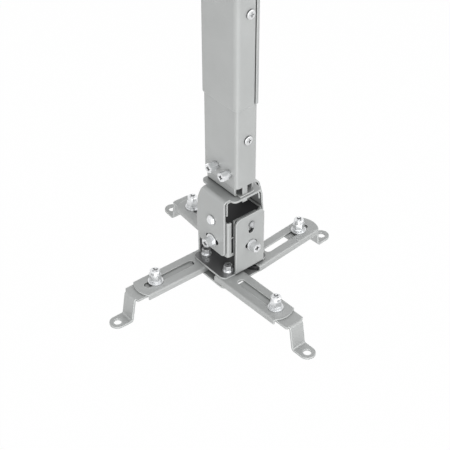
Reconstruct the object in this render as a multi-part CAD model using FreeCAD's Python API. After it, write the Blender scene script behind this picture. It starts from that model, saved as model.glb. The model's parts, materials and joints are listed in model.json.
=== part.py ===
import FreeCAD, Part
import math
import os

from FreeCAD import Vector

# Projector ceiling mount, in millimetres, Z up.
# The origin is the centre of the ceiling plate's top face, so the mount hangs below it.
# Pieces of the head are drawn from the plane of the four arms (z = 0) and then lowered.

# Heights above the arm plane
HEAD_DROP = 536.0
SLEEVE_BOTTOM_Z = 225.5
TUBE_BOTTOM_Z = 122.0
TUBE_LENGTH = 316.0
YOKE_TOP_Z = 109.2
YOKE_BOTTOM_Z = 30.5
TILT_AXIS_Z = 73.0
SWING_AXIS_Z = 66.0
CRADLE_BOTTOM_Z = 28.5
CRADLE_TOP_Z = 77.5
WALL_TOP_Z = 80.0

# Clearances
RUNNING_GAP = 0.3
PIN_CLEARANCE = 0.05
NESTING_GAP = 0.2

# Ceiling plate and the collar that the sleeve is bolted to
CEILING_PLATE_SIDE = 112.0
CEILING_PLATE_THICKNESS = 3.0
CEILING_PLATE_CORNER = 12.0
CEILING_HOLE_SPACING = 84.0
CEILING_HOLE_RADIUS = 3.5
CABLE_HOLE_LENGTH = 40.0
CABLE_HOLE_WIDTH = 18.0
COLLAR_HEIGHT = 46.0
COLLAR_WALL = 2.5
COLLAR_BOLT_DROP = 24.0
COLLAR_BOLT_SPACING = 30.0
COLLAR_HEAD_HEIGHT = 5.0
COLLAR_WASHER_RADIUS = 6.6

# Column: a folded outer sleeve with an open seam, and the inner tube that slides in it
TUBE_X = 57.4
TUBE_Y = 30.0
TUBE_WALL = 1.5
TUBE_CORNER = 4.5
TUBE_TAB_WIDTH = 6.5
TUBE_TAB_Y = -2.5
TUBE_TAB_REACH = 6.0
SLIDE_GAP = 0.35
SLEEVE_WALL = 1.4
SEAM_WIDTH = 2.2
SEAM_Y = 8.7
SLEEVE_SCREW_Z = 337.0
TUBE_SCREW_Z = 182.5
COLUMN_SCREW_Y = 1.0
COLUMN_SCREW_HEAD_RADIUS = 5.4
COLUMN_SCREW_HEAD_HEIGHT = 3.4
COLUMN_SCREW_RADIUS = 2.4
TUBE_SCREW_LENGTH = 4.5

# Channel inside the tube's lower end, bolted through the tube's front face
INSERT_WALL = 2.2
INSERT_BEND = 3.2
INSERT_HEIGHT = 44.0
INSERT_X = 48.0
INSERT_LIP_RIGHT_X = 30.0
INSERT_LIP_Y = 20.0
TUBE_BOLT_Z = 138.0
TUBE_BOLT_X = (-6.0, 15.5)
TUBE_BOLT_COLLAR_RADIUS = 4.4
TUBE_BOLT_COLLAR_HEIGHT = 4.0
TUBE_BOLT_HEAD_HEIGHT = 8.0

# Upper yoke: a folded inverted U, with a tongue at each end of its top
YOKE_Y = 59.0
YOKE_WALL = 2.2
YOKE_BEND = 5.0
YOKE_HALF_X = 24.4
YOKE_SHOULDER_HALF_X = 15.0
YOKE_NECK_HALF_X = 21.8
YOKE_NECK_Z = 93.0
YOKE_TAPER_Z = 64.0
YOKE_CORNER = 5.0
YOKE_FRONT_FOOT_X = -13.5
YOKE_FRONT_CUT_Z = 45.5
YOKE_REAR_FOOT_HALF_X = 15.5
YOKE_REAR_CUT_Z = 54.0
TONGUE_RIGHT_X = 32.0
TONGUE_HALF_Y = 20.8
TONGUE_CORNER = 6.0
STIFFENER_HALF_X = 24.4
STIFFENER_HALF_Y = 25.6
STIFFENER_BOTTOM_Z = 88.0
STIFFENER_WALL = 1.8
STIFFENER_BEND = 3.6

# Cradle: a deep box between the two yokes, with slits in its ends, around a moulded block
CRADLE_X = 53.0
CRADLE_Y = 52.0
CRADLE_WALL = 2.2
CRADLE_BEND = 4.0
CRADLE_SLIT = 3.9
CRADLE_SLIT_Y = 18.4
CRADLE_SLIT_RISE = 4.0
CRADLE_BRIDGE_Z = 55.0
CRADLE_BRIDGE_HEIGHT = 1.2
BLOCK_TOP_Z = 76.0
BLOCK_BOTTOM_GAP = 1.5

# Lower bracket: the base plate with a wall folded up at each end
WALL_X = 62.0
WALL_HALF_Y = 20.9
RIGHT_WALL_Y = 3.9
LEFT_WALL_Y = -2.0
WALL_CORNER = 7.0
BASE_THICKNESS = 2.5
BASE_BEND = 4.5
BASE_HALF_X = 29.5
BASE_HALF_Y = 34.0
BASE_CORNER = 8.0
KEYHOLE_RADIUS = 4.2
KEYHOLE_DROP = 9.0

# Pivots and locking bolts of the two tilting joints
TILT_AXIS_X = 3.0
SWING_AXIS_Y = 5.5
TILT_LIMIT = 15.0
SWING_LIMIT = 10.0
LOCK_RADIUS = 29.5
PIVOT_RADIUS = 3.0
TILT_PIVOT_HEAD_RADIUS = 6.0
SWING_PIVOT_HEAD_RADIUS = 4.0
PIVOT_HEAD_HEIGHT = 3.8
PIVOT_INNER_LENGTH = 8.5
LOCK_SLOT_CLEARANCE = 0.5
LOCK_WASHER_THICKNESS = 1.4
LOCK_HEAD_FLATS = 10.0
LOCK_HEAD_HEIGHT = 9.0
TILT_WASHER_RADIUS = 8.0
SWING_WASHER_RADIUS = 6.6
TILT_SPACER_RADIUS = 5.2
SWING_SPACER_RADIUS = 6.2

# Arms: four channels between the base plate and the lower plate
ARM_PIVOT_X = 20.0
ARM_PIVOT_Y = 20.0
ARM_WIDTH = 32.0
ARM_WALL = 2.0
ARM_HEIGHT = 7.4
ARM_REACH = 100.2
ARM_END_RADIUS = 24.0
ARM_START = -6.0
ARM_EDGE_BEND = 2.6
SLOT_WIDTH = 9.2
SLOT_INNER = 23.4
SLOT_OUTER_INSET = 15.2
ARM_SWING = (-1.4, 2.0, 4.2, -3.6)
LOWER_PLATE_THICKNESS = 2.2
LOWER_PLATE_HALF_X = 33.5
LOWER_PLATE_HALF_Y = 36.5
ARM_SPACER_RADIUS = 12.5
ARM_PIVOT_RADIUS = 3.0
ARM_PIVOT_HEAD_FLATS = 9.0
ARM_PIVOT_HEAD_HEIGHT = 7.0
ARM_PIVOT_COLLAR_RADIUS = 6.2
ARM_PIVOT_COLLAR_HEIGHT = 2.0
NUT_HEIGHT = 4.0
NUT_FLATS = 10.0
THREAD_END = 1.0

# Feet: folded strips that slide in the arms, long ones in front and short ones behind.
# Each list goes round from the front left arm.
FOOT_THICKNESS = 2.5
FOOT_NECK_WIDTH = 19.0
FOOT_BOLT_INSET = (26.2, 19.6, 24.7, 17.2)
FOOT_BOLT_TO_HOLE = (55.3, 52.8, 42.5, 46.0)
FOOT_TAIL = (53.5, 58.5, 18.0, 18.0)
FOOT_PAD_DROP = 30.0
FOOT_RISER_RUN = 5.0
FOOT_PAD_INNER = 13.5
FOOT_BEND = 2.0
FOOT_HOLE_RADIUS = 4.8
FOOT_SHOULDER_BACK = 2.5

# Foot bolts with their washers and nuts
FOOT_BOLT_RADIUS = 3.0
FOOT_WASHER_RADIUS = 9.0
FOOT_WASHER_THICKNESS = 1.5
FOOT_COLLAR_RADIUS = 7.6
FOOT_COLLAR_HEIGHT = 2.5
FOOT_HEX_FLATS = 12.4
FOOT_HEX_HEIGHT = 8.0
FOOT_HEX_TURN = 15.0
FOOT_CAP_RADIUS = 6.0
FOOT_CAP_HEIGHT = 5.0
FOOT_CAP_CHAMFER = 0.9

# Cross-shaped driver recesses, as parts of the head that they are cut into
RECESS_LENGTH = 0.62
RECESS_WIDTH = 0.18
RECESS_DEPTH = 0.35

# Sizes that follow from the ones above
SLEEVE_TOP_Z = HEAD_DROP - CEILING_PLATE_THICKNESS
SLEEVE_X = TUBE_X + 2 * (SLIDE_GAP + SLEEVE_WALL)
SLEEVE_Y = TUBE_Y + 2 * (SLIDE_GAP + SLEEVE_WALL)
SLEEVE_CORNER = TUBE_CORNER + SLIDE_GAP + SLEEVE_WALL
YOKE_INNER_Y = YOKE_Y / 2 - YOKE_WALL
TONGUE_LEFT_X = -TUBE_X / 2 + TUBE_WALL + NESTING_GAP
WALL_INNER_X = WALL_X / 2 - BASE_THICKNESS
LOWER_PLATE_TOP_Z = -ARM_HEIGHT - RUNNING_GAP
SLOT_OUTER = ARM_REACH - SLOT_OUTER_INSET
FOOT_WIDTH = ARM_WIDTH - 2 * ARM_EDGE_BEND - 2 * RUNNING_GAP
FOOT_TOP_Z = -ARM_WALL
ARM_SPACER_TOP_Z = -ARM_WALL - RUNNING_GAP

AXIS_X = Vector(1, 0, 0)
AXIS_Y = Vector(0, 1, 0)
AXIS_Z = Vector(0, 0, 1)


def box(x0, x1, y0, y1, z0, z1):
    return Part.makeBox(x1 - x0, y1 - y0, z1 - z0, Vector(x0, y0, z0))


def rod(radius, start, axis, length):
    return Part.makeCylinder(radius, length, start, axis)


def extruded(points, direction):
    """A prism from a closed outline of points."""
    return Part.Face(Part.makePolygon(points + [points[0]])).extrude(direction)


def rounded(solid, radius, test):
    """The solid with a fillet on each edge that the test picks."""
    edges = [edge for edge in solid.Edges if test(edge)]
    return solid.makeFillet(radius, edges)


def runs_along(edge, axis):
    if not isinstance(edge.Curve, Part.Line):
        return False
    return abs(edge.Curve.Direction.dot(axis)) > 0.999


def plate(half_x, half_y, z0, z1, corner):
    """A flat plate, centred on the Z axis, with rounded corners."""
    blank = box(-half_x, half_x, -half_y, half_y, z0, z1)
    return rounded(blank, corner, lambda edge: runs_along(edge, AXIS_Z))


def hexagon(flats, start, axis, length, turn=0.0):
    """A hexagonal prism that grows from start along the axis."""
    radius = flats / math.sqrt(3)
    side = AXIS_Z if abs(axis.z) < 0.5 else AXIS_X
    up = axis.cross(side)
    points = []
    for corner in range(6):
        angle = math.radians(60 * corner + turn)
        points.append(start + side * (radius * math.cos(angle)) + up * (radius * math.sin(angle)))
    return extruded(points, axis * length)


def straight_slot(start, end, radius, axis, depth):
    """A round-ended slot cutter from start to end, which grows along the axis."""
    along = (end - start).normalize()
    side = axis.cross(along) * radius
    cutter = extruded([start + side, end + side, end - side, start - side], axis * depth)
    for centre in (start, end):
        cutter = cutter.fuse(rod(radius, centre, axis, depth))
    return cutter.removeSplitter()


def arc_slot(centre, axis, sweep_radius, radius, limit, depth):
    """A slot on an arc below the centre, which lets a bolt swing by the limit each way."""
    ring = rod(sweep_radius + radius, centre, axis, depth)
    ring = ring.cut(rod(sweep_radius - radius, centre, axis, depth))
    side = axis.cross(AXIS_Z)
    far = sweep_radius * 2
    spread = side * (far * math.tan(math.radians(limit)))
    wedge = extruded([centre, centre - AXIS_Z * far + spread, centre - AXIS_Z * far - spread], axis * depth)
    cutter = ring.common(wedge)
    for sign in (-1, 1):
        angle = math.radians(limit) * sign
        end = centre - AXIS_Z * (sweep_radius * math.cos(angle)) + side * (sweep_radius * math.sin(angle))
        cutter = cutter.fuse(rod(radius, end, axis, depth))
    return cutter.removeSplitter()


def cross_recess(centre, axis, width, height):
    """A cross-shaped driver recess, for a head of the given width and height whose face is at centre."""
    side = AXIS_Z if abs(axis.z) < 0.5 else AXIS_X
    reach = width * RECESS_LENGTH / 2
    half = width * RECESS_WIDTH / 2
    start = centre - axis * (height * RECESS_DEPTH)
    cutter = None
    for along in (side, axis.cross(side)):
        across = axis.cross(along) * half
        ends = [start + along * reach, start - along * reach]
        outline = [ends[0] + across, ends[0] - across, ends[1] - across, ends[1] + across]
        bar = extruded(outline, centre - start)
        cutter = bar if cutter is None else cutter.fuse(bar)
    return cutter.removeSplitter()


def folded_tube(size_x, size_y, wall, corner, z0, z1):
    """A rectangular tube with round corners, inside and out."""
    outer = plate(size_x / 2, size_y / 2, z0, z1, corner)
    inner = plate(size_x / 2 - wall, size_y / 2 - wall, z0, z1, corner - wall)
    return outer.cut(inner)


def folded_channel(half_width, half_length, web_z, rim_z, wall, bend, across):
    """A U of sheet metal: a web at web_z and two walls that end at rim_z, open along one axis."""
    low, high = min(web_z, rim_z), max(web_z, rim_z)
    along = AXIS_Y if across == AXIS_X else AXIS_X
    if across == AXIS_X:
        outer = box(-half_width, half_width, -half_length, half_length, low, high)
    else:
        outer = box(-half_length, half_length, -half_width, half_width, low, high)

    def at_web(edge):
        return runs_along(edge, along) and abs(edge.CenterOfMass.z - web_z) < 0.01

    outer = rounded(outer, bend, at_web)
    step = wall if rim_z > web_z else -wall
    inner_low, inner_high = min(web_z + step, rim_z + step), max(web_z + step, rim_z + step)
    inside = half_width - wall
    if across == AXIS_X:
        inner = box(-inside, inside, -half_length, half_length, inner_low, inner_high)
    else:
        inner = box(-half_length, half_length, -inside, inside, inner_low, inner_high)

    def at_inner_web(edge):
        return runs_along(edge, along) and abs(edge.CenterOfMass.z - web_z - step) < 0.01

    inner = rounded(inner, bend - wall, at_inner_web)
    return outer.cut(inner)


def make_ceiling_plate():
    top = HEAD_DROP
    under = top - CEILING_PLATE_THICKNESS
    half = CEILING_PLATE_SIDE / 2
    body = plate(half, half, under, top, CEILING_PLATE_CORNER)
    fit = SLEEVE_WALL + NESTING_GAP
    collar = folded_tube(SLEEVE_X - 2 * fit, SLEEVE_Y - 2 * fit, COLLAR_WALL, SLEEVE_CORNER - SLEEVE_WALL,
                         under - COLLAR_HEIGHT, under)
    body = body.fuse(collar).removeSplitter()
    for sign_x in (-1, 1):
        for sign_y in (-1, 1):
            spot = Vector(sign_x * CEILING_HOLE_SPACING / 2, sign_y * CEILING_HOLE_SPACING / 2, under)
            body = body.cut(rod(CEILING_HOLE_RADIUS, spot, AXIS_Z, CEILING_PLATE_THICKNESS))
    reach = (CABLE_HOLE_LENGTH - CABLE_HOLE_WIDTH) / 2
    body = body.cut(straight_slot(Vector(-reach, 0, under), Vector(reach, 0, under), CABLE_HOLE_WIDTH / 2,
                                  AXIS_Z, CEILING_PLATE_THICKNESS))
    for spot in collar_bolt_spots():
        body = body.cut(rod(PIVOT_RADIUS, spot, AXIS_Y, SLEEVE_Y / 2))
    return body


def collar_bolt_spots():
    """Where the two bolts of the collar pass the sleeve's front face."""
    z = SLEEVE_TOP_Z - COLLAR_BOLT_DROP
    return [Vector(sign * COLLAR_BOLT_SPACING / 2, -SLEEVE_Y / 2, z) for sign in (-1, 1)]


def hex_bolt(face, axis, flats, head, shank_radius, shank, collar_radius=0.0, collar=0.0):
    """A bolt whose head stands on a face, with its collar; the axis points out of the face."""
    solid = rod(shank_radius, face - axis * shank, axis, shank)
    if collar > 0:
        solid = solid.fuse(rod(collar_radius, face, axis, collar))
    solid = solid.fuse(hexagon(flats, face + axis * collar, axis, head)).removeSplitter()
    return solid.cut(cross_recess(face + axis * (collar + head), axis, flats, head))


def pan_screw(face, axis, radius, head, shank_radius, shank, driven=True):
    """A screw with a rounded head, turned from a profile; the axis points out of the face."""
    side = AXIS_Z if abs(axis.z) < 0.5 else AXIS_X
    profile = [
        face - axis * shank, face - axis * shank + side * shank_radius, face + side * shank_radius,
        face + side * radius, face + side * radius + axis * (head * 0.4),
        face + side * (radius * 0.7) + axis * head, face + axis * head,
    ]
    solid = Part.Face(Part.makePolygon(profile + [profile[0]])).revolve(face, axis, 360)
    if not driven:
        return solid
    return solid.cut(cross_recess(face + axis * head, axis, 2 * radius, head))


def make_outer_sleeve():
    body = folded_tube(SLEEVE_X, SLEEVE_Y, SLEEVE_WALL, SLEEVE_CORNER, SLEEVE_BOTTOM_Z, SLEEVE_TOP_Z)
    seam = box(SLEEVE_X / 2 - 2 * SLEEVE_WALL, SLEEVE_X / 2 + SLEEVE_WALL, SEAM_Y - SEAM_WIDTH / 2,
               SEAM_Y + SEAM_WIDTH / 2, SLEEVE_BOTTOM_Z, SLEEVE_TOP_Z)
    body = body.cut(seam)
    for spot in collar_bolt_spots():
        body = body.cut(rod(PIVOT_RADIUS, spot, AXIS_Y, SLEEVE_WALL))
    spot = Vector(SLEEVE_X / 2 - SLEEVE_WALL, COLUMN_SCREW_Y, SLEEVE_SCREW_Z)
    return body.cut(rod(COLUMN_SCREW_RADIUS, spot, AXIS_X, SLEEVE_WALL))


def make_collar_bolts():
    """The two bolts that hold the sleeve to the ceiling collar, as one group."""
    shank = SLEEVE_WALL + NESTING_GAP + COLLAR_WALL + NUT_HEIGHT + THREAD_END
    bolts = [hex_bolt(spot, -AXIS_Y, LOCK_HEAD_FLATS, COLLAR_HEAD_HEIGHT, PIVOT_RADIUS, shank,
                      COLLAR_WASHER_RADIUS, LOCK_WASHER_THICKNESS) for spot in collar_bolt_spots()]
    return Part.makeCompound(bolts)


def ring_nut(flats, bore_radius, start, axis, height):
    return hexagon(flats, start, axis, height).cut(rod(bore_radius, start, axis, height))


def make_collar_nuts():
    depth = SLEEVE_WALL + NESTING_GAP + COLLAR_WALL
    nuts = [ring_nut(NUT_FLATS, PIVOT_RADIUS, spot + AXIS_Y * depth, AXIS_Y, NUT_HEIGHT)
            for spot in collar_bolt_spots()]
    return Part.makeCompound(nuts)


def make_sleeve_screw():
    """The screw that clamps the inner tube; its tip is level with the inside of the sleeve."""
    face = Vector(SLEEVE_X / 2, COLUMN_SCREW_Y, SLEEVE_SCREW_Z)
    return pan_screw(face, AXIS_X, COLUMN_SCREW_HEAD_RADIUS, COLUMN_SCREW_HEAD_HEIGHT, COLUMN_SCREW_RADIUS,
                     SLEEVE_WALL)


def make_inner_tube():
    """The sliding tube. A tab below its right face passes through the yoke's tongue, and one below
    its left face passes the tongue's end."""
    body = folded_tube(TUBE_X, TUBE_Y, TUBE_WALL, TUBE_CORNER, TUBE_BOTTOM_Z, TUBE_BOTTOM_Z + TUBE_LENGTH)
    for sign in (-1, 1):
        body = body.fuse(tube_tab(sign, 0, YOKE_TOP_Z - YOKE_WALL - TUBE_TAB_REACH, TUBE_BOTTOM_Z))
    body = body.removeSplitter()
    spot = Vector(TUBE_X / 2 - TUBE_WALL, COLUMN_SCREW_Y, TUBE_SCREW_Z)
    body = body.cut(rod(COLUMN_SCREW_RADIUS, spot, AXIS_X, TUBE_WALL))
    for x in TUBE_BOLT_X:
        body = body.cut(rod(PIVOT_RADIUS, Vector(x, -TUBE_Y / 2, TUBE_BOLT_Z), AXIS_Y, TUBE_WALL))
    return body


def tube_tab(sign, gap, z0, z1):
    """A tab of the tube on the side that sign gives, or with a gap the slot that lets it through."""
    x0, x1 = sorted((sign * (TUBE_X / 2 + gap), sign * (TUBE_X / 2 - TUBE_WALL - gap)))
    centre = sign * TUBE_TAB_Y
    half = TUBE_TAB_WIDTH / 2 + gap
    return box(x0, x1, centre - half, centre + half, z0, z1)


def make_tube_screw():
    face = Vector(TUBE_X / 2, COLUMN_SCREW_Y, TUBE_SCREW_Z)
    return pan_screw(face, AXIS_X, COLUMN_SCREW_HEAD_RADIUS, COLUMN_SCREW_HEAD_HEIGHT, COLUMN_SCREW_RADIUS,
                     TUBE_SCREW_LENGTH)


def make_tube_insert():
    """The channel that stands on the upper yoke inside the tube's lower end."""
    half = TUBE_Y / 2 - TUBE_WALL
    body = folded_channel(half, INSERT_X / 2, YOKE_TOP_Z, YOKE_TOP_Z + INSERT_HEIGHT, INSERT_WALL,
                          INSERT_BEND, AXIS_Y)
    lip = box(TONGUE_LEFT_X, INSERT_LIP_RIGHT_X, -INSERT_LIP_Y / 2, INSERT_LIP_Y / 2, YOKE_TOP_Z,
              YOKE_TOP_Z + INSERT_WALL)
    body = body.fuse(lip).removeSplitter()
    body = body.cut(tube_tab(1, NESTING_GAP, YOKE_TOP_Z, YOKE_TOP_Z + INSERT_WALL))
    for x in TUBE_BOLT_X:
        body = body.cut(rod(PIVOT_RADIUS, Vector(x, -half, TUBE_BOLT_Z), AXIS_Y, INSERT_WALL))
    return body


def make_tube_bolts():
    """The two long hexagon bolts on the front of the tube's lower end, as one group."""
    shank = TUBE_WALL + INSERT_WALL + NUT_HEIGHT + THREAD_END
    bolts = [hex_bolt(Vector(x, -TUBE_Y / 2, TUBE_BOLT_Z), -AXIS_Y, LOCK_HEAD_FLATS, TUBE_BOLT_HEAD_HEIGHT,
                      PIVOT_RADIUS, shank, TUBE_BOLT_COLLAR_RADIUS, TUBE_BOLT_COLLAR_HEIGHT)
             for x in TUBE_BOLT_X]
    return Part.makeCompound(bolts)


def make_tube_nuts():
    inside = -TUBE_Y / 2 + TUBE_WALL + INSERT_WALL
    nuts = [ring_nut(NUT_FLATS, PIVOT_RADIUS, Vector(x, inside, TUBE_BOLT_Z), AXIS_Y, NUT_HEIGHT)
            for x in TUBE_BOLT_X]
    return Part.makeCompound(nuts)


def yoke_side(sign):
    """Half of the yoke seen from the front: the front half for sign -1 and the rear one for sign 1.
    One edge of each tapers to a shoulder above and to a narrower foot below. The rear foot is cut back
    on both sides to let the head swing."""
    half = YOKE_HALF_X
    if sign < 0:
        outline = [(YOKE_FRONT_FOOT_X, YOKE_BOTTOM_Z), (half, YOKE_BOTTOM_Z), (half, YOKE_TOP_Z),
                   (-YOKE_SHOULDER_HALF_X, YOKE_TOP_Z), (-YOKE_NECK_HALF_X, YOKE_NECK_Z),
                   (-half, YOKE_TAPER_Z), (-half, YOKE_FRONT_CUT_Z)]
    else:
        foot = YOKE_REAR_FOOT_HALF_X
        outline = [(-foot, YOKE_BOTTOM_Z), (foot, YOKE_BOTTOM_Z), (half, YOKE_REAR_CUT_Z),
                   (half, YOKE_TAPER_Z), (YOKE_NECK_HALF_X, YOKE_NECK_Z), (YOKE_SHOULDER_HALF_X, YOKE_TOP_Z),
                   (-half, YOKE_TOP_Z), (-half, YOKE_REAR_CUT_Z)]
    side = extruded([Vector(x, 0, z) for x, z in outline], AXIS_Y * (sign * YOKE_Y / 2))

    def lower_corner(edge):
        return runs_along(edge, AXIS_Y) and abs(edge.CenterOfMass.z - YOKE_BOTTOM_Z) < 0.01

    return rounded(side, YOKE_CORNER, lower_corner)


def make_upper_yoke():
    """Inverted U of sheet metal, with tapered shoulders and a tongue at each end of its top."""
    body = folded_channel(YOKE_Y / 2, TONGUE_RIGHT_X, YOKE_TOP_Z, YOKE_BOTTOM_Z, YOKE_WALL, YOKE_BEND, AXIS_Y)
    half_y = YOKE_Y / 2
    low = YOKE_TOP_Z - YOKE_WALL
    tongue = plate((TONGUE_RIGHT_X - TONGUE_LEFT_X) / 2, TONGUE_HALF_Y, low, YOKE_TOP_Z, TONGUE_CORNER)
    tongue.translate(AXIS_X * ((TONGUE_RIGHT_X + TONGUE_LEFT_X) / 2))
    body = body.common(yoke_side(-1).fuse(yoke_side(1)).fuse(tongue)).removeSplitter()
    body = body.cut(tube_tab(1, NESTING_GAP, low, YOKE_TOP_Z))
    hole = PIVOT_RADIUS + PIN_CLEARANCE
    body = body.cut(rod(hole, Vector(TILT_AXIS_X, -half_y, TILT_AXIS_Z), AXIS_Y, YOKE_Y))
    slot = PIVOT_RADIUS + LOCK_SLOT_CLEARANCE
    for start in (-half_y, half_y - YOKE_WALL):
        centre = Vector(TILT_AXIS_X, start, TILT_AXIS_Z)
        body = body.cut(arc_slot(centre, AXIS_Y, LOCK_RADIUS, slot, TILT_LIMIT, YOKE_WALL))
    return body


def make_yoke_stiffener():
    """A short channel nested under the top of the upper yoke, with the same tapered shoulders."""
    body = folded_channel(STIFFENER_HALF_Y, STIFFENER_HALF_X, YOKE_TOP_Z - YOKE_WALL, STIFFENER_BOTTOM_Z,
                          STIFFENER_WALL, STIFFENER_BEND, AXIS_Y)
    return body.common(yoke_side(-1).fuse(yoke_side(1))).removeSplitter()


def tilt_spots():
    """The outer face point and outward axis of each side of the upper yoke."""
    return {"front": (-YOKE_Y / 2, -AXIS_Y), "rear": (YOKE_Y / 2, AXIS_Y)}


def swing_spots():
    """The outer face point and outward axis of each wall of the lower bracket."""
    return {"right": (WALL_X / 2, AXIS_X), "left": (-WALL_X / 2, -AXIS_X)}


def tilt_heights():
    return (TILT_AXIS_Z, TILT_AXIS_Z - LOCK_RADIUS)


def swing_heights():
    return (SWING_AXIS_Z, SWING_AXIS_Z - LOCK_RADIUS)


def make_cradle():
    """Folded box, open at the top, with two slits in each end that a small bridge interrupts."""
    half_x, half_y = CRADLE_X / 2, CRADLE_Y / 2
    body = folded_tube(CRADLE_X, CRADLE_Y, CRADLE_WALL, CRADLE_BEND, CRADLE_BOTTOM_Z, CRADLE_TOP_Z)
    floor = plate(half_x, half_y, CRADLE_BOTTOM_Z, CRADLE_BOTTOM_Z + CRADLE_WALL, CRADLE_BEND)
    body = body.fuse(floor).removeSplitter()
    bridge = CRADLE_BRIDGE_HEIGHT / 2
    stretches = ((CRADLE_BOTTOM_Z + CRADLE_SLIT_RISE, CRADLE_BRIDGE_Z - bridge),
                 (CRADLE_BRIDGE_Z + bridge, CRADLE_TOP_Z))
    for low, high in stretches:
        for y in (-CRADLE_SLIT_Y, CRADLE_SLIT_Y):
            body = body.cut(box(-half_x, half_x, y - CRADLE_SLIT / 2, y + CRADLE_SLIT / 2, low, high))
    for z in tilt_heights():
        body = body.cut(rod(PIVOT_RADIUS, Vector(TILT_AXIS_X, -half_y, z), AXIS_Y, CRADLE_Y))
    for z in swing_heights():
        body = body.cut(rod(PIVOT_RADIUS, Vector(-half_x, SWING_AXIS_Y, z), AXIS_X, CRADLE_X))
    return body


def make_pivot_block():
    """The moulded block that fills the cradle and takes the inner ends of its eight screws."""
    half_x = CRADLE_X / 2 - CRADLE_WALL - NESTING_GAP
    half_y = CRADLE_Y / 2 - CRADLE_WALL - NESTING_GAP
    low = CRADLE_BOTTOM_Z + CRADLE_WALL + BLOCK_BOTTOM_GAP
    body = plate(half_x, half_y, low, BLOCK_TOP_Z, CRADLE_BEND - CRADLE_WALL)
    foot = box(-half_x / 2, half_x / 2, -half_y / 2, half_y / 2, CRADLE_BOTTOM_Z + CRADLE_WALL, low)
    body = body.fuse(foot).removeSplitter()
    for y, axis in tilt_spots().values():
        for z in tilt_heights():
            tip = math.copysign(CRADLE_Y / 2 - CRADLE_WALL - PIVOT_INNER_LENGTH, y)
            body = body.cut(rod(PIVOT_RADIUS, Vector(TILT_AXIS_X, tip, z), axis, 2 * PIVOT_INNER_LENGTH))
    for x, axis in swing_spots().values():
        for z in swing_heights():
            tip = math.copysign(CRADLE_X / 2 - CRADLE_WALL - PIVOT_INNER_LENGTH, x)
            body = body.cut(rod(PIVOT_RADIUS, Vector(tip, SWING_AXIS_Y, z), axis, 2 * PIVOT_INNER_LENGTH))
    return body


def tilt_shank():
    """Length of a tilt screw from just outside the yoke to its tip in the block."""
    return YOKE_Y / 2 + RUNNING_GAP - (CRADLE_Y / 2 - CRADLE_WALL - PIVOT_INNER_LENGTH)


def swing_shank():
    return WALL_X / 2 + RUNNING_GAP - (CRADLE_X / 2 - CRADLE_WALL - PIVOT_INNER_LENGTH)


def washer(face, axis, radius, thickness):
    return rod(radius, face, axis, thickness).cut(rod(PIVOT_RADIUS, face, axis, thickness))


def lock_bolt(face, axis, shank):
    """A locking bolt whose head stands on a washer that stands on the face."""
    seat = face + axis * LOCK_WASHER_THICKNESS
    shank += LOCK_WASHER_THICKNESS
    return hex_bolt(seat, axis, LOCK_HEAD_FLATS, LOCK_HEAD_HEIGHT, PIVOT_RADIUS, shank)


def rivet(face, axis, radius, shank):
    """A pivot with a smooth rounded head that stands on a face."""
    return pan_screw(face, axis, radius, PIVOT_HEAD_HEIGHT, PIVOT_RADIUS, shank, driven=False)


def make_tilt_pivot(y, axis):
    face = Vector(TILT_AXIS_X, y, TILT_AXIS_Z) + axis * RUNNING_GAP
    return rivet(face, axis, TILT_PIVOT_HEAD_RADIUS, tilt_shank())


def tilt_lock_face(y, axis):
    return Vector(TILT_AXIS_X, y, TILT_AXIS_Z - LOCK_RADIUS) + axis * RUNNING_GAP


def make_tilt_spacers(y, axis):
    """The two thin sleeves between one side of the upper yoke and the cradle."""
    start = Vector(TILT_AXIS_X, math.copysign(CRADLE_Y / 2, y), 0)
    length = YOKE_INNER_Y - CRADLE_Y / 2 - RUNNING_GAP
    sleeves = [washer(start + AXIS_Z * z, axis, TILT_SPACER_RADIUS, length) for z in tilt_heights()]
    return Part.makeCompound(sleeves)


def make_swing_pivot(x, axis):
    """A rivet whose head passes the round end of the wall's keyhole, so that the bracket hangs on it."""
    face = Vector(x, SWING_AXIS_Y, SWING_AXIS_Z) + axis * RUNNING_GAP
    return rivet(face, axis, SWING_PIVOT_HEAD_RADIUS, swing_shank())


def swing_lock_face(x, axis):
    return Vector(x, SWING_AXIS_Y, SWING_AXIS_Z - LOCK_RADIUS) + axis * RUNNING_GAP


def make_swing_spacers(x, axis):
    """The two thin discs between one wall of the lower bracket and the cradle."""
    start = Vector(math.copysign(CRADLE_X / 2, x), SWING_AXIS_Y, 0)
    length = WALL_INNER_X - CRADLE_X / 2 - RUNNING_GAP
    discs = [washer(start + AXIS_Z * z, axis, SWING_SPACER_RADIUS, length) for z in swing_heights()]
    return Part.makeCompound(discs)


def wall_side(sign):
    """The half of the lower bracket that carries the right wall for sign 1 and the left one for sign -1.
    Each wall stands off the middle, towards the rear on the right and towards the front on the left."""
    x0, x1 = sorted((0, sign * WALL_X / 2))
    centre = RIGHT_WALL_Y if sign > 0 else LEFT_WALL_Y
    side = box(x0, x1, centre - WALL_HALF_Y, centre + WALL_HALF_Y, 0, WALL_TOP_Z)

    def top_corner(edge):
        return runs_along(edge, AXIS_X) and abs(edge.CenterOfMass.z - WALL_TOP_Z) < 0.01

    return rounded(side, WALL_CORNER, top_corner)


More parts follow.
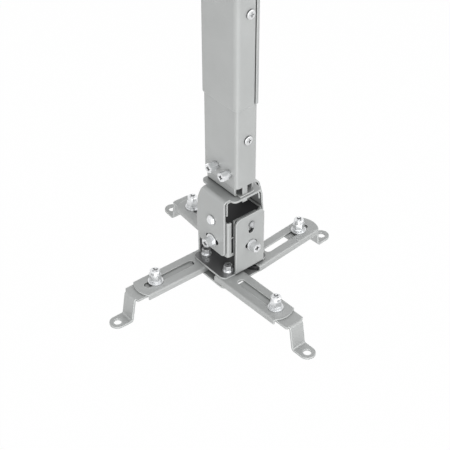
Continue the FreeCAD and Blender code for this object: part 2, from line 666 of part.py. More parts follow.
def make_base_bracket():
    """The base plate and its two walls, folded from one sheet."""
    half_x = WALL_X / 2
    sides = wall_side(-1).fuse(wall_side(1))
    flat = plate(BASE_HALF_X, BASE_HALF_Y, 0, BASE_THICKNESS, BASE_CORNER)
    body = folded_channel(half_x, BASE_HALF_Y, 0, WALL_TOP_Z, BASE_THICKNESS, BASE_BEND, AXIS_X)
    body = body.common(sides).fuse(flat.cut(sides)).removeSplitter()
    for spot, _ in arm_pivots():
        body = body.cut(rod(ARM_PIVOT_RADIUS, spot, AXIS_Z, BASE_THICKNESS))
    pin = Vector(-half_x, SWING_AXIS_Y, SWING_AXIS_Z)
    way_in = pin - AXIS_Z * KEYHOLE_DROP
    body = body.cut(straight_slot(way_in, pin, PIVOT_RADIUS + PIN_CLEARANCE, AXIS_X, WALL_X))
    body = body.cut(rod(KEYHOLE_RADIUS, way_in, AXIS_X, WALL_X))
    slot = PIVOT_RADIUS + LOCK_SLOT_CLEARANCE
    for start in (-half_x, WALL_INNER_X):
        centre = Vector(start, SWING_AXIS_Y, SWING_AXIS_Z)
        body = body.cut(arc_slot(centre, AXIS_X, LOCK_RADIUS, slot, SWING_LIMIT, BASE_THICKNESS))
    return body


def arm_pivots():
    """The pivot of each arm and the direction it points in, going round from the front left."""
    signs = ((-1, -1), (1, -1), (1, 1), (-1, 1))
    pivots = []
    for number, (sign_x, sign_y) in enumerate(signs):
        pivot = Vector(sign_x * ARM_PIVOT_X, sign_y * ARM_PIVOT_Y, 0)
        pivots.append((pivot, -90 + 90 * number + ARM_SWING[number]))
    return pivots


def make_lower_plate():
    low = LOWER_PLATE_TOP_Z - LOWER_PLATE_THICKNESS
    body = plate(LOWER_PLATE_HALF_X, LOWER_PLATE_HALF_Y, low, LOWER_PLATE_TOP_Z, BASE_CORNER)
    for spot, _ in arm_pivots():
        body = body.cut(rod(ARM_PIVOT_RADIUS, Vector(spot.x, spot.y, low), AXIS_Z, LOWER_PLATE_THICKNESS))
    return body


def make_arm_spacers():
    """The four moulded discs in the arms, round their pivots, as one group."""
    discs = []
    for spot, _ in arm_pivots():
        low = Vector(spot.x, spot.y, LOWER_PLATE_TOP_Z)
        height = ARM_SPACER_TOP_Z - LOWER_PLATE_TOP_Z
        disc = rod(ARM_SPACER_RADIUS, low, AXIS_Z, height)
        discs.append(disc.cut(rod(ARM_PIVOT_RADIUS, low, AXIS_Z, height)))
    return Part.makeCompound(discs)


def make_arm_pivot(spot):
    """A hexagon bolt with a collar, through the base plate, the arm and the lower plate."""
    face = Vector(spot.x, spot.y, BASE_THICKNESS)
    shank = BASE_THICKNESS - LOWER_PLATE_TOP_Z + LOWER_PLATE_THICKNESS + NUT_HEIGHT
    return hex_bolt(face, AXIS_Z, ARM_PIVOT_HEAD_FLATS, ARM_PIVOT_HEAD_HEIGHT, ARM_PIVOT_RADIUS, shank,
                    ARM_PIVOT_COLLAR_RADIUS, ARM_PIVOT_COLLAR_HEIGHT)


def make_arm_nuts():
    """The four nuts under the lower plate, as one group."""
    low = LOWER_PLATE_TOP_Z - LOWER_PLATE_THICKNESS - NUT_HEIGHT
    nuts = [ring_nut(NUT_FLATS, ARM_PIVOT_RADIUS, Vector(spot.x, spot.y, low), AXIS_Z, NUT_HEIGHT)
            for spot, _ in arm_pivots()]
    return Part.makeCompound(nuts)


def placed(solid, spot, angle):
    """Turns a piece that was drawn along +X about its arm's pivot and moves it there."""
    solid.rotate(Vector(0, 0, 0), AXIS_Z, angle)
    solid.translate(spot)
    return solid


def make_arm():
    """A channel along +X, with its pivot hole at the origin, a long slot and a rounded outer end."""
    half = ARM_WIDTH / 2
    bottom = -ARM_HEIGHT
    body = folded_channel(half, ARM_REACH, 0, bottom, ARM_WALL, ARM_EDGE_BEND, AXIS_Y)
    centre = Vector(ARM_REACH - ARM_END_RADIUS, 0, bottom)
    plan = box(ARM_START, centre.x, -half, half, bottom, 0)
    plan = plan.fuse(rod(ARM_END_RADIUS, centre, AXIS_Z, ARM_HEIGHT))
    body = body.common(plan)
    flange_end = centre.x + math.sqrt(ARM_END_RADIUS ** 2 - half ** 2)
    body = body.cut(box(flange_end, ARM_REACH, -half, half, bottom, -ARM_WALL))
    body = body.cut(rod(ARM_PIVOT_RADIUS + PIN_CLEARANCE, Vector(0, 0, bottom), AXIS_Z, ARM_HEIGHT))
    slot = straight_slot(Vector(SLOT_INNER, 0, bottom), Vector(SLOT_OUTER, 0, bottom), SLOT_WIDTH / 2, AXIS_Z,
                         ARM_HEIGHT)
    return body.cut(slot).removeSplitter()


def foot_outline(bolt, tail, hole):
    """The foot's edge seen from the side: flat, bent down, bent flat again, one sheet thick."""
    bottom_bend = hole - FOOT_PAD_INNER
    top_bend = bottom_bend - FOOT_RISER_RUN
    tip = hole + FOOT_NECK_WIDTH / 2
    top, pad = FOOT_TOP_Z, FOOT_TOP_Z - FOOT_PAD_DROP
    points = [
        (bolt - tail, top), (top_bend, top), (bottom_bend, pad), (tip, pad),
        (tip, pad - FOOT_THICKNESS), (bottom_bend - FOOT_THICKNESS * 0.8, pad - FOOT_THICKNESS),
        (top_bend - FOOT_THICKNESS * 0.8, top - FOOT_THICKNESS), (bolt - tail, top - FOOT_THICKNESS),
    ]
    return [Vector(x, -FOOT_WIDTH / 2, z) for x, z in points]


def make_foot(bolt, tail, hole):
    """A strip along +X: a flat tail in the channel, a riser and a round pad with its hole."""
    outline = foot_outline(bolt, tail, hole)
    body = extruded(outline, AXIS_Y * FOOT_WIDTH)
    bends = {1: FOOT_BEND + FOOT_THICKNESS, 2: FOOT_BEND, 5: FOOT_BEND + FOOT_THICKNESS, 6: FOOT_BEND}
    for index, radius in bends.items():
        point = outline[index]

        def at_bend(edge):
            off = edge.CenterOfMass - point
            return runs_along(edge, AXIS_Y) and math.hypot(off.x, off.z) < 0.01

        body = rounded(body, radius, at_bend)
    low, high = FOOT_TOP_Z - FOOT_PAD_DROP - FOOT_THICKNESS, FOOT_TOP_Z
    neck = FOOT_NECK_WIDTH / 2
    shoulder = hole - FOOT_PAD_INNER - FOOT_RISER_RUN - FOOT_SHOULDER_BACK
    plan = box(bolt - tail, shoulder, -FOOT_WIDTH / 2, FOOT_WIDTH / 2, low, high)

    def at_shoulder(edge):
        return runs_along(edge, AXIS_Z) and abs(edge.CenterOfMass.x - shoulder) < 0.01

    plan = rounded(plan, FOOT_BEND, at_shoulder)
    plan = plan.fuse(box(shoulder - FOOT_BEND, hole, -neck, neck, low, high))
    plan = plan.fuse(rod(neck, Vector(hole, 0, low), AXIS_Z, high - low))
    body = body.common(plan).removeSplitter()
    body = body.cut(rod(FOOT_HOLE_RADIUS, Vector(hole, 0, low), AXIS_Z, high - low))
    return body.cut(rod(FOOT_BOLT_RADIUS, Vector(bolt, 0, high - FOOT_THICKNESS), AXIS_Z, FOOT_THICKNESS))


def make_foot_washer(bolt):
    return washer(Vector(bolt, 0, 0), AXIS_Z, FOOT_WASHER_RADIUS, FOOT_WASHER_THICKNESS)


def make_foot_bolt(bolt):
    """A bolt with a neck, a hexagon and a round cap that has a cross recess."""
    start = Vector(bolt, 0, FOOT_WASHER_THICKNESS)
    low = FOOT_TOP_Z - FOOT_THICKNESS - NUT_HEIGHT
    solid = rod(FOOT_BOLT_RADIUS, Vector(bolt, 0, low), AXIS_Z, start.z - low)
    solid = solid.fuse(rod(FOOT_COLLAR_RADIUS, start, AXIS_Z, FOOT_COLLAR_HEIGHT))
    hex_start = start + AXIS_Z * FOOT_COLLAR_HEIGHT
    solid = solid.fuse(hexagon(FOOT_HEX_FLATS, hex_start, AXIS_Z, FOOT_HEX_HEIGHT, FOOT_HEX_TURN))
    cap_start = hex_start + AXIS_Z * FOOT_HEX_HEIGHT
    cap = rod(FOOT_CAP_RADIUS, cap_start, AXIS_Z, FOOT_CAP_HEIGHT)
    top = cap_start + AXIS_Z * FOOT_CAP_HEIGHT
    rim = [edge for edge in cap.Edges if edge.CenterOfMass.z > top.z - 0.01]
    solid = solid.fuse(cap.makeChamfer(FOOT_CAP_CHAMFER, rim)).removeSplitter()
    return solid.cut(cross_recess(top, AXIS_Z, 2 * FOOT_CAP_RADIUS, FOOT_CAP_HEIGHT))


def make_foot_nut(bolt):
    low = FOOT_TOP_Z - FOOT_THICKNESS - NUT_HEIGHT
    return ring_nut(NUT_FLATS, FOOT_BOLT_RADIUS, Vector(bolt, 0, low), AXIS_Z, NUT_HEIGHT)


def column_parts():
    return {
        "ceiling_plate": make_ceiling_plate(),
        "outer_sleeve": make_outer_sleeve(),
        "collar_bolts": make_collar_bolts(),
        "collar_nuts": make_collar_nuts(),
        "sleeve_clamp_screw": make_sleeve_screw(),
        "inner_tube": make_inner_tube(),
        "tube_stop_screw": make_tube_screw(),
        "tube_insert": make_tube_insert(),
        "tube_bolts": make_tube_bolts(),
        "tube_nuts": make_tube_nuts(),
        "upper_yoke": make_upper_yoke(),
        "yoke_stiffener": make_yoke_stiffener(),
    }


def head_parts():
    parts = {"cradle": make_cradle(), "pivot_block": make_pivot_block()}
    for side, (y, axis) in tilt_spots().items():
        parts["tilt_pivot_" + side] = make_tilt_pivot(y, axis)
        face = tilt_lock_face(y, axis)
        parts["tilt_lock_bolt_" + side] = lock_bolt(face, axis, tilt_shank())
        parts["tilt_washer_" + side] = washer(face, axis, TILT_WASHER_RADIUS, LOCK_WASHER_THICKNESS)
        parts["tilt_spacers_" + side] = make_tilt_spacers(y, axis)
    for side, (x, axis) in swing_spots().items():
        parts["swing_pivot_" + side] = make_swing_pivot(x, axis)
        face = swing_lock_face(x, axis)
        parts["swing_lock_bolt_" + side] = lock_bolt(face, axis, swing_shank())
        parts["swing_washer_" + side] = washer(face, axis, SWING_WASHER_RADIUS, LOCK_WASHER_THICKNESS)
        parts["swing_spacers_" + side] = make_swing_spacers(x, axis)
    parts["base_bracket"] = make_base_bracket()
    parts["lower_plate"] = make_lower_plate()
    parts["arm_spacers"] = make_arm_spacers()
    return parts


def arm_parts():
    parts = {"arm_pivot_nuts": make_arm_nuts()}
    for number, (spot, angle) in enumerate(arm_pivots()):
        name = str(number + 1)
        bolt = ARM_REACH - FOOT_BOLT_INSET[number]
        hole = bolt + FOOT_BOLT_TO_HOLE[number]
        parts["arm_pivot_bolt_" + name] = make_arm_pivot(spot)
        parts["arm_" + name] = placed(make_arm(), spot, angle)
        parts["foot_" + name] = placed(make_foot(bolt, FOOT_TAIL[number], hole), spot, angle)
        parts["foot_washer_" + name] = placed(make_foot_washer(bolt), spot, angle)
        parts["foot_bolt_" + name] = placed(make_foot_bolt(bolt), spot, angle)
        parts["foot_nut_" + name] = placed(make_foot_nut(bolt), spot, angle)
    return parts


def main():
    os.makedirs("parts", exist_ok=True)
    parts = {}
    parts.update(column_parts())
    parts.update(head_parts())
    parts.update(arm_parts())
    for name, shape in parts.items():
        shape.translate(Vector(0, 0, -HEAD_DROP))
        shape.exportStep("parts/" + name + ".step")


main()
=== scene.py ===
import json
import math

import bpy
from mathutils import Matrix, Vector


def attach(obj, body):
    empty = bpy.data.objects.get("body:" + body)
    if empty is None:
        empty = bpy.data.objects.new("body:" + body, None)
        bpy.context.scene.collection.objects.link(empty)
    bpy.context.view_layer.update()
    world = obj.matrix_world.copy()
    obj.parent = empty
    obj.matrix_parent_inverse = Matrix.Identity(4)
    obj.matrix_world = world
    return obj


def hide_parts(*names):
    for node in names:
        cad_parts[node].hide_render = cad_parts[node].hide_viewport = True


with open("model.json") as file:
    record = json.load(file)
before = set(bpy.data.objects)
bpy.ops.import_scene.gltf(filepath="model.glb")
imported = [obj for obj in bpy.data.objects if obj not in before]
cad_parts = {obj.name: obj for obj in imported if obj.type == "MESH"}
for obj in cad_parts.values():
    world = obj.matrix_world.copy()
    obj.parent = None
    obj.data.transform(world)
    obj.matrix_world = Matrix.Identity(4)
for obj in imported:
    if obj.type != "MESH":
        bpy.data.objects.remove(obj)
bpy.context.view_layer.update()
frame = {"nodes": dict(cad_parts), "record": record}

MM = 0.001
WHITE = (1.0, 1.0, 1.0)

# The plane of the arms, on the column's axis: what the camera and the lamps look at
HEAD = Vector((0.0, 0.0, -0.536))

# The photograph's camera, as fitted to the arms and the column
CAMERA_AZIMUTH = 50.2
CAMERA_ELEVATION = 40.3
CAMERA_DISTANCE = 1.534
CAMERA_LENS = 104.0
CAMERA_SENSOR = 36.0
CAMERA_SHIFT_X = -0.0116
CAMERA_SHIFT_Y = 0.0704

# Base colours, linear
SILVER = (0.405, 0.415, 0.411)
# A dark tone painted as shade over the bracket's inner faces
INSIDE_SHADE_TONE = (0.15, 0.152, 0.154)
DARK_STEEL = (0.12, 0.12, 0.125)
BRIGHT_ZINC = (0.8, 0.81, 0.82)
SATIN_ZINC = (0.74, 0.75, 0.755)
# A darker zinc painted as shade on the swing pivots, which sit recessed
SHADED_ZINC = (0.46, 0.47, 0.475)
ZINC_RUBBED = (0.97, 0.97, 0.97)
NYLON = (0.012, 0.012, 0.013)
NYLON_RUBBED = (0.06, 0.06, 0.062)

# Noise scales are in cells a metre; radii, reaches and heights are in metres. A CORNERS or SEAMS row
# says how far the painted shade in a corner reaches, how dark it gets, and the openness at its darkest
# and unshaded ends.

# Edge wear on zinc and nylon, and on paint an edge painted paler as a highlight: the dot product of the
# softened and the flat normal on such an edge and on a flat, and the noise
EDGE_TURN = 0.82
FLAT_TURN = 0.99
EDGE_MARKS = 160.0
LEAST_EDGE_MARK = 0.45
CLOUD_RANGE = (0.3, 0.7)

PAINT_CLOUDS = 22.0
PAINT_TONES = (0.96, 1.04)
PAINT_FLAKES = 2600.0
FLAKE_RANGE = (0.35, 0.75)
FLAKE_TONES = ((0.97, 0.97, 0.97), (1.06, 1.06, 1.06))
PAINT_EDGE = 0.0014
# The paint's edges painted paler as a highlight: how strongly, and how pale against the grey
PAINT_HIGHLIGHT = 0.85
HIGHLIGHT_PALENESS = 2.1
# Painted shade in the paint's corners and narrow seams
PAINT_CORNERS = (0.05, 0.42, 0.12, 0.72)
PAINT_SEAMS = (0.005, 0.3, 0.1, 0.6)
PAINT_GLOSS_SPREAD = (-0.04, 0.05)
COAT_WEIGHT = 0.12
COAT_ROUGHNESS = 0.3
PAINT_PEEL = 900.0
PEEL_HEIGHT = 0.00004
PEEL_STRENGTH = 0.3
INSIDE_EDGE_KEPT = 0.94
INSIDE_ROUGHNESS = (0.16, 0.26)
INSIDE_METALLIC = 0.4

ZINC_CLOUDS = 180.0
ZINC_DARKEST = 0.9
ZINC_EDGE = 0.0003
ZINC_WEAR = 0.35
# Painted shade in the zinc's narrow seams
ZINC_SEAMS = (0.006, 0.42, 0.15, 0.7)
ZINC_GLOSS_SPREAD = (-0.04, 0.06)
ZINC_METALLIC = 0.9
ZINC_GRAIN = 700.0
ZINC_GRAIN_HEIGHT = 0.00001
ZINC_GRAIN_STRENGTH = 0.06

NYLON_CLOUDS = 60.0
NYLON_PALEST = 1.5
NYLON_WORN_EDGE = 0.0005
NYLON_WEAR = 0.4
NYLON_ROUGHNESS = (0.5, 0.62)
NYLON_EDGE = 0.0004
NYLON_GRAIN = 1400.0
NYLON_GRAIN_HEIGHT = 0.00004
NYLON_GRAIN_STRENGTH = 0.4

# The bracket's faces painted dark as shade: inner faces of the walls (x times the normal's x) and the
# base plate's top
WALL_INWARD = -0.012
BASE_TOP_Z = HEAD.z + 0.006
FACING_UP = 0.6


def new_material(name):
    """A new material, its node tree and its Principled shader."""
    material = bpy.data.materials.new(name)
    material.use_nodes = True
    tree = material.node_tree
    return material, tree, tree.nodes["Principled BSDF"]


def scaled(colour, factor):
    return tuple(channel * factor for channel in colour)


def add(tree, kind, **values):
    node = tree.nodes.new(kind)
    for key, value in values.items():
        setattr(node, key, value)
    return node


def math_node(tree, operation, first, second):
    """What the operation makes of a source and of a second source or a number."""
    node = add(tree, "ShaderNodeMath", operation=operation)
    tree.links.new(first, node.inputs[0])
    if isinstance(second, float):
        node.inputs[1].default_value = second
    else:
        tree.links.new(second, node.inputs[1])
    return node.outputs["Value"]


def noise(tree, coords, scale, detail, rough=0.55):
    node = add(tree, "ShaderNodeTexNoise")
    node.inputs["Scale"].default_value = scale
    node.inputs["Detail"].default_value = detail
    node.inputs["Roughness"].default_value = rough
    tree.links.new(coords.outputs["Object"], node.inputs["Vector"])
    return node.outputs["Fac"]


def ramp(tree, source, low, high, colours):
    """A colour that goes from the first to the second as the source goes from low to high."""
    node = add(tree, "ShaderNodeValToRGB")
    for element, position, colour in zip(node.color_ramp.elements, (low, high), colours):
        element.position = position
        element.color = (*colour, 1.0)
    tree.links.new(source, node.inputs["Fac"])
    return node.outputs["Color"]


def span(tree, source, low, high, start=0.0, end=1.0):
    """Low to high as the source goes from start to end."""
    node = add(tree, "ShaderNodeMapRange")
    node.inputs["From Min"].default_value = start
    node.inputs["From Max"].default_value = end
    node.inputs["To Min"].default_value = low
    node.inputs["To Max"].default_value = high
    tree.links.new(source, node.inputs["Value"])
    return node.outputs["Result"]


def blend(tree, factor, first, second, kind="MIX"):
    """One colour over another, where a source or a number says how much."""
    node = add(tree, "ShaderNodeMix", data_type="RGBA", blend_type=kind)
    if isinstance(factor, float):
        node.inputs["Factor"].default_value = factor
    else:
        tree.links.new(factor, node.inputs["Factor"])
    # A Mix node's sockets 6 and 7 are its two colours, and its output 2 is the mixed colour
    for socket, source in ((6, first), (7, second)):
        if isinstance(source, tuple):
            node.inputs[socket].default_value = (*source, 1.0)
        else:
            tree.links.new(source, node.inputs[socket])
    return node.outputs[2]


def blend_values(tree, factor, first, second):
    node = add(tree, "ShaderNodeMix", data_type="FLOAT")
    # A Mix node's sockets 2 and 3 are its two values, and its output 0 is the mixed value
    for socket, source in ((0, factor), (2, first), (3, second)):
        tree.links.new(source, node.inputs[socket])
    return node.outputs[0]


def soft_edge(tree, radius, samples=8):
    """The normal of a surface whose sharp edges are rounded off by the radius."""
    node = add(tree, "ShaderNodeBevel", samples=samples)
    node.inputs["Radius"].default_value = radius
    return node.outputs["Normal"]


# On paint this marks the edges painted paler as a highlight; on zinc and nylon it marks worn edges.
def edge_wear_and_highlight(tree, coords, radius):
    """Near 1 along the edges, broken up by a noise, and 0 on the flats."""
    surface = add(tree, "ShaderNodeNewGeometry")
    turn = add(tree, "ShaderNodeVectorMath", operation="DOT_PRODUCT")
    tree.links.new(soft_edge(tree, radius, samples=12), turn.inputs[0])
    tree.links.new(surface.outputs["Normal"], turn.inputs[1])
    edge = span(tree, turn.outputs["Value"], 1.0, 0.0, EDGE_TURN, FLAT_TURN)
    breakup = span(tree, noise(tree, coords, EDGE_MARKS, detail=3.0), LEAST_EDGE_MARK, 1.0)
    return math_node(tree, "MULTIPLY", edge, breakup)


def shade_in_corners(tree, colour, corners):
    """The colour with painted shade: darker where other metal stands close."""
    reach, darkest, low, high = corners
    near = add(tree, "ShaderNodeAmbientOcclusion", samples=8)
    near.inputs["Distance"].default_value = reach
    painted_shade = ramp(tree, near.outputs["AO"], low, high, ((darkest, darkest, darkest), WHITE))
    return blend(tree, 1.0, colour, painted_shade, "MULTIPLY")


def relief(tree, shader, source, height, strength, edge):
    """Fine bumps over softened edges, as the shader's normal."""
    node = add(tree, "ShaderNodeBump")
    node.inputs["Distance"].default_value = height
    node.inputs["Strength"].default_value = strength
    tree.links.new(source, node.inputs["Height"])
    tree.links.new(soft_edge(tree, edge), node.inputs["Normal"])
    tree.links.new(node.outputs["Normal"], shader.inputs["Normal"])


def inside_of_bracket(tree, coords):
    """1 on the inner faces of the lower bracket's walls and on the top of its base plate, or else 0."""
    place = add(tree, "ShaderNodeSeparateXYZ")
    tree.links.new(coords.outputs["Object"], place.inputs["Vector"])
    facing = add(tree, "ShaderNodeSeparateXYZ")
    tree.links.new(coords.outputs["Normal"], facing.inputs["Vector"])
    inward = math_node(tree, "MULTIPLY", place.outputs["X"], facing.outputs["X"])
    walls = math_node(tree, "LESS_THAN", inward, WALL_INWARD)
    low = math_node(tree, "LESS_THAN", place.outputs["Z"], BASE_TOP_Z)
    upward = math_node(tree, "GREATER_THAN", facing.outputs["Z"], FACING_UP)
    return math_node(tree, "MAXIMUM", walls, math_node(tree, "MULTIPLY", low, upward))


def paint(name, grey, roughness=0.44, metallic=0.25, inside_shade=False):
    """Powder paint: a fine orange-peel skin, a faint cloudy tone, flakes, edges painted paler as a
    highlight and painted shade in corners and seams, and when asked the bracket's inner faces painted
    dark as shade.
    """
    material, tree, shader = new_material(name)
    coords = add(tree, "ShaderNodeTexCoord")
    cloud = noise(tree, coords, PAINT_CLOUDS, detail=4.0)
    flake = noise(tree, coords, PAINT_FLAKES, detail=1.0, rough=0.7)
    tone = ramp(tree, cloud, *CLOUD_RANGE, [scaled(grey, factor) for factor in PAINT_TONES])
    colour = blend(tree, 1.0, tone, ramp(tree, flake, *FLAKE_RANGE, FLAKE_TONES), "MULTIPLY")
    # The edges painted paler as a highlight, broken up by a noise
    wear_and_highlight = edge_wear_and_highlight(tree, coords, PAINT_EDGE)
    colour = blend(tree, math_node(tree, "MULTIPLY", wear_and_highlight, PAINT_HIGHLIGHT), colour, scaled(grey, HIGHLIGHT_PALENESS))
    # Painted shade: darker in corners and in narrow seams between parts
    colour = shade_in_corners(tree, colour, PAINT_CORNERS)
    colour = shade_in_corners(tree, colour, PAINT_SEAMS)
    gloss = span(tree, cloud, *(roughness + more for more in PAINT_GLOSS_SPREAD))
    shader.inputs["Metallic"].default_value = metallic
    # The bracket's inner faces painted dark as shade, glossier and more metallic, its edges kept pale
    if inside_shade:
        keep = span(tree, wear_and_highlight, INSIDE_EDGE_KEPT, 0.0)
        inside_shade_mask = math_node(tree, "MULTIPLY", inside_of_bracket(tree, coords), keep)
        colour = blend(tree, inside_shade_mask, colour, INSIDE_SHADE_TONE)
        gloss = blend_values(tree, inside_shade_mask, gloss, span(tree, cloud, *INSIDE_ROUGHNESS))
        tree.links.new(span(tree, inside_shade_mask, metallic, INSIDE_METALLIC), shader.inputs["Metallic"])
    tree.links.new(colour, shader.inputs["Base Color"])
    tree.links.new(gloss, shader.inputs["Roughness"])
    shader.inputs["Coat Weight"].default_value = COAT_WEIGHT
    shader.inputs["Coat Roughness"].default_value = COAT_ROUGHNESS
    peel = noise(tree, coords, PAINT_PEEL, detail=2.0)
    relief(tree, shader, peel, PEEL_HEIGHT, PEEL_STRENGTH, PAINT_EDGE)
    return material


def plated(name, tone, roughness):
    """Zinc plating: a faint cloudy tone and gloss, a fine grain and paler edges."""
    material, tree, shader = new_material(name)
    coords = add(tree, "ShaderNodeTexCoord")
    cloud = noise(tree, coords, ZINC_CLOUDS, detail=4.0)
    colour = ramp(tree, cloud, *CLOUD_RANGE, (scaled(tone, ZINC_DARKEST), tone))
    wear_and_highlight = edge_wear_and_highlight(tree, coords, ZINC_EDGE)
    colour = blend(tree, math_node(tree, "MULTIPLY", wear_and_highlight, ZINC_WEAR), colour, ZINC_RUBBED)
    # Painted shade in narrow seams between parts
    colour = shade_in_corners(tree, colour, ZINC_SEAMS)
    tree.links.new(colour, shader.inputs["Base Color"])
    gloss = span(tree, cloud, *(roughness + more for more in ZINC_GLOSS_SPREAD))
    tree.links.new(gloss, shader.inputs["Roughness"])
    shader.inputs["Metallic"].default_value = ZINC_METALLIC
    grain = noise(tree, coords, ZINC_GRAIN, detail=2.0)
    relief(tree, shader, grain, ZINC_GRAIN_HEIGHT, ZINC_GRAIN_STRENGTH, ZINC_EDGE)
    return material


def moulded(name, tone):
    """Black moulded plastic with a fine eroded grain and greyer edges."""
    material, tree, shader = new_material(name)
    coords = add(tree, "ShaderNodeTexCoord")
    cloud = noise(tree, coords, NYLON_CLOUDS, detail=3.0)
    colour = ramp(tree, cloud, *CLOUD_RANGE, (tone, scaled(tone, NYLON_PALEST)))
    wear_and_highlight = edge_wear_and_highlight(tree, coords, NYLON_WORN_EDGE)
    colour = blend(tree, math_node(tree, "MULTIPLY", wear_and_highlight, NYLON_WEAR), colour, NYLON_RUBBED)
    tree.links.new(colour, shader.inputs["Base Color"])
    tree.links.new(span(tree, cloud, *NYLON_ROUGHNESS), shader.inputs["Roughness"])
    grain = noise(tree, coords, NYLON_GRAIN, detail=2.0)
    relief(tree, shader, grain, NYLON_GRAIN_HEIGHT, NYLON_GRAIN_STRENGTH, NYLON_EDGE)
    return material


MATERIALS = {
    "bracket_paint": paint("bracket_paint", SILVER, inside_shade=True),
    "silver_paint": paint("silver_paint", SILVER),
    "dark_steel": paint("dark_steel", DARK_STEEL, roughness=0.4, metallic=0.6),
    "zinc": plated("bright_zinc", BRIGHT_ZINC, roughness=0.31),
    "satin_zinc": plated("satin_zinc", SATIN_ZINC, roughness=0.34),
    "shaded_zinc": plated("shaded_zinc", SHADED_ZINC, roughness=0.4),
    "black_nylon": moulded("black_nylon", NYLON),
}

# The nodes that don't take the material of their slot
OWN_LOOK = {
    "base_bracket": "bracket_paint",
    # The recessed swing pivots take the darker zinc as painted shade
    "swing_pivot_right": "shaded_zinc",
    "swing_pivot_left": "shaded_zinc",
    "tube_stop_screw": "satin_zinc",
    "sleeve_clamp_screw": "satin_zinc",
}
slot_of = {part["node"]: part["material_slot"] for part in frame["record"]["subparts"]}
for name, piece in frame["nodes"].items():
    material = MATERIALS[OWN_LOOK.get(name, slot_of[name])]
    for place in piece.material_slots:
        place.material = material
    if not piece.material_slots:
        piece.data.materials.append(material)


# The two pan-headed screws of the column, in metres; they look along +X
SCREW_HEAD_RADIUS = 0.0054
SCREW_RIM = 0.0015
SCREW_CROWN = 0.0009
SCREW_SHANK_RADIUS = 0.0024
CROSS_LENGTH = 0.0058
CROSS_WIDTH = 0.0015
CROSS_DEPTH = 0.0014
ROUND_STEPS = 48
CROWN_STEPS = 10
SHARP_ANGLE = 32.0
RIM_SHARE = 0.9
TUBE_SCREW_FACE = Vector((28.7 * MM, 1.0 * MM, 182.5 * MM)) + HEAD
TUBE_SCREW_SHANK = 4.5 * MM
SLEEVE_SCREW_FACE = Vector((30.45 * MM, 1.0 * MM, 337.0 * MM)) + HEAD
SLEEVE_SCREW_SHANK = 1.4 * MM


def box_mesh(name, low, high):
    mesh = bpy.data.meshes.new(name)
    points = [(x, y, z) for x in (low[0], high[0]) for y in (low[1], high[1]) for z in (low[2], high[2])]
    faces = [(0, 1, 3, 2), (4, 6, 7, 5), (0, 4, 5, 1), (2, 3, 7, 6), (0, 2, 6, 4), (1, 5, 7, 3)]
    mesh.from_pydata(points, [], faces)
    return mesh


def turned_mesh(name, profile):
    """A solid turned about X from (radius, place along X) pairs, the first and the last on the axis."""
    points = [(profile[0][1], 0.0, 0.0)]
    for radius, along in profile[1:-1]:
        for step in range(ROUND_STEPS):
            turn = 2 * math.pi * step / ROUND_STEPS
            points.append((along, radius * math.cos(turn), radius * math.sin(turn)))
    top = len(points)
    last = top - ROUND_STEPS
    points.append((profile[-1][1], 0.0, 0.0))
    faces = []
    for step in range(ROUND_STEPS):
        after = (step + 1) % ROUND_STEPS
        faces.append((0, 1 + after, 1 + step))
        for low in range(1, last, ROUND_STEPS):
            high = low + ROUND_STEPS
            faces.append((low + step, low + after, high + after, high + step))
        faces.append((last + step, last + after, top))
    mesh = bpy.data.meshes.new(name)
    mesh.from_pydata(points, [], faces)
    return mesh


def pan_head_profile(shank):
    """A shank of this length below the face, and above it a straight rim and a low crown."""
    profile = [(0.0, -shank), (SCREW_SHANK_RADIUS, -shank), (SCREW_SHANK_RADIUS, 0.0)]
    profile.append((SCREW_HEAD_RADIUS, 0.0))
    for step in range(CROWN_STEPS):
        turn = math.pi / 2 * step / CROWN_STEPS
        profile.append((SCREW_HEAD_RADIUS * math.cos(turn), SCREW_RIM + SCREW_CROWN * math.sin(turn)))
    profile.append((0.0, SCREW_RIM + SCREW_CROWN))
    return profile


def cut_cross(screw):
    """The screw's mesh with a cross recess cut into its crown."""
    crown = SCREW_RIM + SCREW_CROWN
    cutters = []
    for across, up in ((CROSS_LENGTH, CROSS_WIDTH), (CROSS_WIDTH, CROSS_LENGTH)):
        low = (crown - CROSS_DEPTH, -across / 2, -up / 2)
        high = (crown + CROSS_DEPTH, across / 2, up / 2)
        cutter = bpy.data.objects.new("cutter", box_mesh("cutter", low, high))
        bpy.context.scene.collection.objects.link(cutter)
        cut = screw.modifiers.new("cross", "BOOLEAN")
        cut.operation, cut.solver, cut.object = "DIFFERENCE", "EXACT", cutter
        cutters.append(cutter)
    bpy.context.view_layer.update()
    mesh = bpy.data.meshes.new_from_object(screw.evaluated_get(bpy.context.evaluated_depsgraph_get()))
    screw.modifiers.clear()
    for cutter in cutters:
        bpy.data.objects.remove(cutter)
    return mesh


def column_screw(node, body, face, shank):
    """A pan-headed screw with its rim painted dark as shade and a cross recess; it replaces the frame's
    plainer one.
    """
    screw = bpy.data.objects.new(node + "_head", turned_mesh(node + "_head", pan_head_profile(shank)))
    bpy.context.scene.collection.objects.link(screw)
    mesh = cut_cross(screw)
    screw.data = mesh
    mesh.materials.clear()
    mesh.materials.append(MATERIALS["satin_zinc"])
    mesh.materials.append(MATERIALS["dark_steel"])
    for polygon in mesh.polygons:
        polygon.use_smooth = True
        # The rim takes the dark steel as painted shade in the gap under the head
        outward = math.hypot(polygon.center.y, polygon.center.z)
        on_rim = 0.0 < polygon.center.x < SCREW_RIM and outward > RIM_SHARE * SCREW_HEAD_RADIUS
        polygon.material_index = 1 if on_rim else 0
    mesh.set_sharp_from_angle(angle=math.radians(SHARP_ANGLE))
    screw.location = face
    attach(screw, body)
    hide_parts(node)


column_screw("tube_stop_screw", "column", TUBE_SCREW_FACE, TUBE_SCREW_SHANK)
column_screw("sleeve_clamp_screw", "ceiling", SLEEVE_SCREW_FACE, SLEEVE_SCREW_SHANK)


FLOOR_Z = -1.6
FLOOR_HALF = 8.0
FLOOR_GREY = (0.85, 0.85, 0.85)
FLOOR_GLOW = 0.99
WORLD_STRENGTH = 0.42


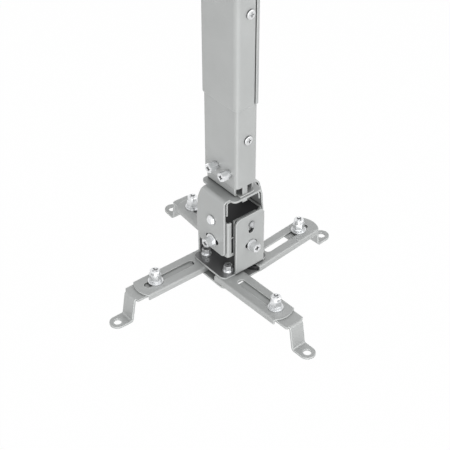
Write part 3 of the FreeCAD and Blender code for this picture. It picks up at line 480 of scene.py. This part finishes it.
def floor_material(name):
    """Pale, and near white to the camera and in reflections, while it keeps a faint shadow."""
    material = bpy.data.materials.new(name)
    material.use_nodes = True
    tree = material.node_tree
    tree.nodes.clear()
    out = add(tree, "ShaderNodeOutputMaterial")
    plain = add(tree, "ShaderNodeBsdfDiffuse")
    plain.inputs["Color"].default_value = (*FLOOR_GREY, 1.0)
    white = add(tree, "ShaderNodeEmission")
    white.inputs["Color"].default_value = (*WHITE, 1.0)
    white.inputs["Strength"].default_value = 1.0
    ray = add(tree, "ShaderNodeLightPath")
    seen = math_node(tree, "MAXIMUM", ray.outputs["Is Camera Ray"], ray.outputs["Is Glossy Ray"])
    mix = add(tree, "ShaderNodeMixShader")
    tree.links.new(math_node(tree, "MULTIPLY", seen, FLOOR_GLOW), mix.inputs["Fac"])
    tree.links.new(plain.outputs["BSDF"], mix.inputs[1])
    tree.links.new(white.outputs["Emission"], mix.inputs[2])
    tree.links.new(mix.outputs["Shader"], out.inputs["Surface"])
    return material


def lay_floor():
    mesh = bpy.data.meshes.new("floor")
    sides = ((-1, -1), (1, -1), (1, 1), (-1, 1))
    corners = [(x * FLOOR_HALF, y * FLOOR_HALF, FLOOR_Z) for x, y in sides]
    mesh.from_pydata(corners, [], [(0, 1, 2, 3)])
    floor = bpy.data.objects.new("floor", mesh)
    floor.data.materials.append(floor_material("floor_white"))
    bpy.context.scene.collection.objects.link(floor)


def set_world():
    """A grey light all round, that the camera, reflections and clear materials see as white."""
    world = bpy.data.worlds.new("studio")
    bpy.context.scene.world = world
    world.use_nodes = True
    tree = world.node_tree
    tree.nodes.clear()
    out = add(tree, "ShaderNodeOutputWorld")
    mix = add(tree, "ShaderNodeMixShader")
    for socket, strength in ((1, WORLD_STRENGTH), (2, 1.0)):
        light = add(tree, "ShaderNodeBackground")
        light.inputs["Color"].default_value = (*WHITE, 1.0)
        light.inputs["Strength"].default_value = strength
        tree.links.new(light.outputs["Background"], mix.inputs[socket])
    ray = add(tree, "ShaderNodeLightPath")
    white = ray.outputs["Is Camera Ray"]
    for kind in ("Is Glossy Ray", "Is Transmission Ray"):
        white = math_node(tree, "MAXIMUM", white, ray.outputs[kind])
    tree.links.new(white, mix.inputs["Fac"])
    tree.links.new(mix.outputs["Shader"], out.inputs["Surface"])


def look_at_head(name, data, azimuth, elevation, distance):
    """A new lamp or camera that looks at the head from a bearing (0 is -Y, 90 is +X) and a height."""
    obj = bpy.data.objects.new(name, data)
    a, e = math.radians(azimuth), math.radians(elevation)
    back = Vector((math.sin(a) * math.cos(e), -math.cos(a) * math.cos(e), math.sin(e)))
    obj.location = HEAD + back * distance
    obj.rotation_mode = "QUATERNION"
    obj.rotation_quaternion = (-back).to_track_quat("-Z", "Y")
    bpy.context.scene.collection.objects.link(obj)
    return obj


def add_lamp(name, azimuth, elevation, distance, size, watts):
    """A square soft lamp."""
    data = bpy.data.lights.new(name, "AREA")
    data.shape = "SQUARE"
    data.size = size
    data.energy = watts
    look_at_head(name, data, azimuth, elevation, distance).visible_camera = False


def add_camera():
    data = bpy.data.cameras.new("camera")
    data.lens = CAMERA_LENS
    data.sensor_width = CAMERA_SENSOR
    data.shift_x = CAMERA_SHIFT_X
    data.shift_y = CAMERA_SHIFT_Y
    data.dof.use_dof = False
    camera = look_at_head("camera", data, CAMERA_AZIMUTH, CAMERA_ELEVATION, CAMERA_DISTANCE)
    bpy.context.scene.camera = camera


lay_floor()
set_world()
add_lamp("key", azimuth=62.0, elevation=16.0, distance=2.2, size=1.5, watts=32.0)
add_lamp("fill", azimuth=-15.0, elevation=10.0, distance=2.4, size=1.6, watts=11.0)
add_lamp("top", azimuth=30.0, elevation=75.0, distance=2.4, size=1.4, watts=5.0)
add_lamp("rim", azimuth=127.0, elevation=30.0, distance=2.2, size=1.6, watts=14.0)
add_lamp("back", azimuth=230.0, elevation=4.0, distance=2.4, size=1.6, watts=9.0)
add_lamp("bounce", azimuth=50.0, elevation=-36.0, distance=1.5, size=0.6, watts=3.5)
add_camera()
bpy.context.scene.view_settings.view_transform = "Standard"
